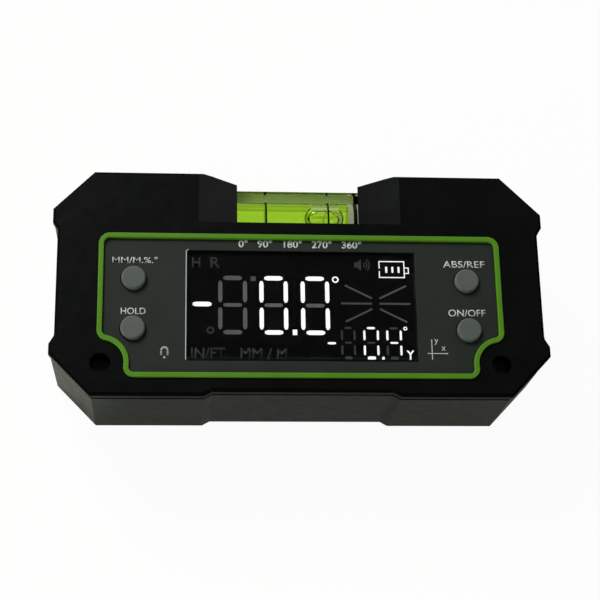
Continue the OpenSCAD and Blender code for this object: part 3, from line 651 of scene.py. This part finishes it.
bright = bmesh.new()
dim = bmesh.new()
faint = bmesh.new()
lines = bmesh.new()
for figure, x0, x1, size in FIGURE_PLACES:
    for letter, outline in digit(x0, x1, **size).items():
        unlit = dim if size is BIG else faint
        add_outline(bright if letter in FIGURES[figure] else unlit, outline)

# Minus signs, points, degree signs and the axis letter
add_outline(bright, segment(-25.25, -20.9, 21.38, 22.5))
add_outline(bright, segment(5.95, 7.85, 12.35, 12.9))
add_outline(bright, box_outline(-2.13, -1.08, 14.55, 15.85))
add_outline(bright, box_outline(18.5, 19.1, 8.87, 9.42))
add_ring(bright, 8.1, 28.28, 0.8, 0.47)
add_ring(bright, 24.17, 16.33, 0.48, 0.22)
add_text(bright, "Y", 24.22, 26.05, 8.95, 10.97, 0.02)

# Battery sign: frame, contact and three bars
for outline in (
    (18.45, 24.6, 32.84, 33.08), (18.45, 24.6, 28.85, 29.09), (24.36, 24.6, 29.09, 32.84),
    (18.45, 18.69, 29.09, 30.55), (18.45, 18.69, 31.2, 32.84), (24.6, 25.6, 31.28, 31.52),
    (24.6, 25.6, 29.91, 30.15), (25.36, 25.6, 30.15, 31.28),
    (20.0, 20.48, 30.16, 31.65), (21.47, 21.93, 30.16, 31.65), (22.94, 23.41, 30.16, 31.65),
):
    add_outline(bright, box_outline(*outline))

# Unlit point, ring and words
FAINT_WEIGHT = 0.014
add_outline(lines, box_outline(-11.8, -10.55, 27.75, 28.9))
add_ring(faint, -21.15, 15.6, 0.88, 0.48)
for words, x0, x1, y0, y1 in (
    ("H", -25.45, -23.5, 31.0, 33.5), ("R", -21.2, -18.95, 31.0, 33.6), ("IN/FT", -25.55, -17.75, 8.75, 11.4),
    ("MM / M", -14.25, -3.55, 8.8, 11.35),
):
    add_text(faint, words, x0, x1, y0, y1, FAINT_WEIGHT)

# Speaker sign: a horn and three arcs of sound, each with its radius and half its angle
SPEAKER_X, SPEAKER_Y = 14.25, 32.03
SOUND_HALF = 0.12
add_outline(faint, [
    (12.65, 31.4), (13.3, 31.4), (14.3, 30.55), (14.3, 33.5), (13.3, 32.65), (12.65, 32.65),
])
for radius, spread in ((0.8, 40), (1.4, 42), (2.0, 44)):
    outer, inner = radius + SOUND_HALF, radius - SOUND_HALF
    add_outline(faint, arc_outline(SPEAKER_X, SPEAKER_Y, (outer, outer), (inner, inner), -spread, spread))

# Six rays
RAY_WIDTH = 0.45
for x0, y0, x1, y1 in (
    (9.3, 22.4, 16.6, 22.4), (18.3, 22.4, 25.6, 22.4), (10.3, 26.9, 16.6, 23.7),
    (24.8, 26.9, 18.4, 23.7), (10.3, 17.9, 16.6, 21.1), (24.7, 17.9, 18.4, 21.1),
):
    add_outline(lines, line_outline(x0, y0, x1, y1, RAY_WIDTH))

# The lens lifts what lies behind it towards the camera
SEEN_Z = LENS_HIGH.z - (LENS_HIGH.z - SEGMENT_Z) / LENS_IOR
for name, shapes, material in (
    ("display_lit", bright, LIT), ("display_unlit", dim, UNLIT),
    ("display_faint", faint, FAINT), ("display_lines", lines, LINES),
):
    bmesh.ops.translate(shapes, verts=shapes.verts, vec=(SEGMENT_SHIFT, 0, 0))
    printed(name, shapes, SEGMENT_Z, material, SEEN_Z)

# Black sheet behind the segments, a little smaller than the lens
MASK_GAP = 0.05
bm = bmesh.new()
add_outline(bm, box_outline(
    LENS_LOW.x + MASK_GAP, LENS_HIGH.x - MASK_GAP,
    LENS_LOW.y + MASK_GAP - BASE_Y, LENS_HIGH.y - MASK_GAP - BASE_Y,
))
printed("display_mask", bm, MASK_Z, MASK, FRONT_Z)

# A black lower border printed round the display, and a painted highlight: a pale line along the lens's left
# edge, bent at its ends, for the glint on that edge
GLINT_LEFT, GLINT_RIGHT = -27.05, -26.86
bm = bmesh.new()
add_outline(bm, box_outline(-26.85, 26.75, 8.25, 8.75))
printed("display_border", bm, PANEL_Z, MASK)
bm = bmesh.new()
add_outline(bm, [(GLINT_LEFT, 8.7), (GLINT_RIGHT, 8.75), (GLINT_RIGHT, 35.1), (GLINT_LEFT, 35.15)])
add_outline(bm, [(GLINT_LEFT, 35.15), (GLINT_RIGHT, 35.1), (-26.4, 35.45), (-26.5, 35.6)])
add_outline(bm, [(GLINT_LEFT, 8.7), (-26.8, 8.3), (-26.65, 8.42), (GLINT_RIGHT, 8.75)])
printed("painted_lens_glint", bm, PANEL_Z, PAINTED_LENS_GLINT)


# Camera, floor and light

camera = bpy.data.objects.new("camera", bpy.data.cameras.new("camera"))
scene.collection.objects.link(camera)
camera.location = CAMERA_AT * MM
camera.rotation_mode = "ZXY"
camera.rotation_euler = [math.radians(turn) for turn in CAMERA_TURN]
camera.data.sensor_width = 36
camera.data.lens = CAMERA_LENS
camera.data.clip_start = 0.01
scene.camera = camera


def seen_white(owner, camera_share, glossy_share, clear_share):
    """The share of white that a ray sees in the background, nought where it lights the object."""
    path = owner.node_tree.nodes.new("ShaderNodeLightPath")
    seen = number(owner, "MULTIPLY", path.outputs["Is Camera Ray"], camera_share)
    mirrored = number(owner, "MULTIPLY", path.outputs["Is Glossy Ray"], glossy_share)
    through = number(owner, "MULTIPLY", path.outputs["Is Transmission Ray"], clear_share)
    return number(owner, "MAXIMUM", number(owner, "MAXIMUM", seen, mirrored), through)


# White paper: almost white to the camera, and matt and a little green where it lights the object
FLOOR_HALF = 4
floor_mesh = bpy.data.meshes.new("floor")
floor_corners = box_outline(-FLOOR_HALF, FLOOR_HALF, -FLOOR_HALF, FLOOR_HALF)
floor_mesh.from_pydata([(x, y, 0) for x, y in floor_corners], [], [(0, 1, 2, 3)])
floor = bpy.data.objects.new("floor", floor_mesh)
scene.collection.objects.link(floor)
paper = bpy.data.materials.new("paper")
paper.use_nodes = True
tree = paper.node_tree
tree.nodes.clear()
matt = tree.nodes.new("ShaderNodeBsdfDiffuse")
matt.inputs["Color"].default_value = (0.82, 0.86, 0.72, 1)
glow = tree.nodes.new("ShaderNodeEmission")
glow.inputs["Strength"].default_value = 1.02
mix = tree.nodes.new("ShaderNodeMixShader")
output = tree.nodes.new("ShaderNodeOutputMaterial")
tree.links.new(seen_white(paper, 0.93, 0.1, 0.08), mix.inputs["Fac"])
tree.links.new(matt.outputs["BSDF"], mix.inputs[1])
tree.links.new(glow.outputs["Emission"], mix.inputs[2])
tree.links.new(mix.outputs["Shader"], output.inputs["Surface"])
floor_mesh.materials.append(paper)

# Room: dim where it lights the object, and where it is seen or mirrored white low down and dark overhead
world = bpy.data.worlds.new("studio")
scene.world = world
world.use_nodes = True
tree = world.node_tree
tree.nodes.clear()
room = tree.nodes.new("ShaderNodeBackground")
room.inputs["Strength"].default_value = 0.28
white = tree.nodes.new("ShaderNodeBackground")
direction = tree.nodes.new("ShaderNodeTexCoord")
lean = tree.nodes.new("ShaderNodeVectorMath")
lean.operation = "DOT_PRODUCT"
lean.inputs[1].default_value = (-0.25, -0.3, 1)
rise = tree.nodes.new("ShaderNodeValToRGB")
rise.color_ramp.elements[0].position = 0.25
rise.color_ramp.elements[0].color = (1, 1, 1, 1)
rise.color_ramp.elements[1].position = 0.6
rise.color_ramp.elements[1].color = (0.01, 0.01, 0.01, 1)
mix = tree.nodes.new("ShaderNodeMixShader")
output = tree.nodes.new("ShaderNodeOutputWorld")
tree.links.new(direction.outputs["Generated"], lean.inputs[0])
tree.links.new(lean.outputs["Value"], rise.inputs["Fac"])
tree.links.new(rise.outputs["Color"], white.inputs["Color"])
tree.links.new(seen_white(world, 1, 1, 1), mix.inputs["Fac"])
tree.links.new(room.outputs["Background"], mix.inputs[1])
tree.links.new(white.outputs["Background"], mix.inputs[2])
tree.links.new(mix.outputs["Shader"], output.inputs["Surface"])


def softbox(name, at, size, power, colour=(1, 1, 1)):
    """Round lamp that faces the object."""
    lamp = bpy.data.objects.new(name, bpy.data.lights.new(name, "AREA"))
    scene.collection.objects.link(lamp)
    lamp.data.shape = "DISK"
    lamp.data.size = size
    lamp.data.energy = power
    lamp.data.color = colour
    lamp.location = at
    lamp.rotation_euler = Vector(at).to_track_quat("Z", "Y").to_euler()


softbox("key", (-0.38, 0.57, 0.58), 0.4, 5.0)
softbox("low_fill", (-0.6, -0.45, 0.15), 0.3, 2.5, (0.96, 1, 0.86))

scene.view_settings.view_transform = "Standard"
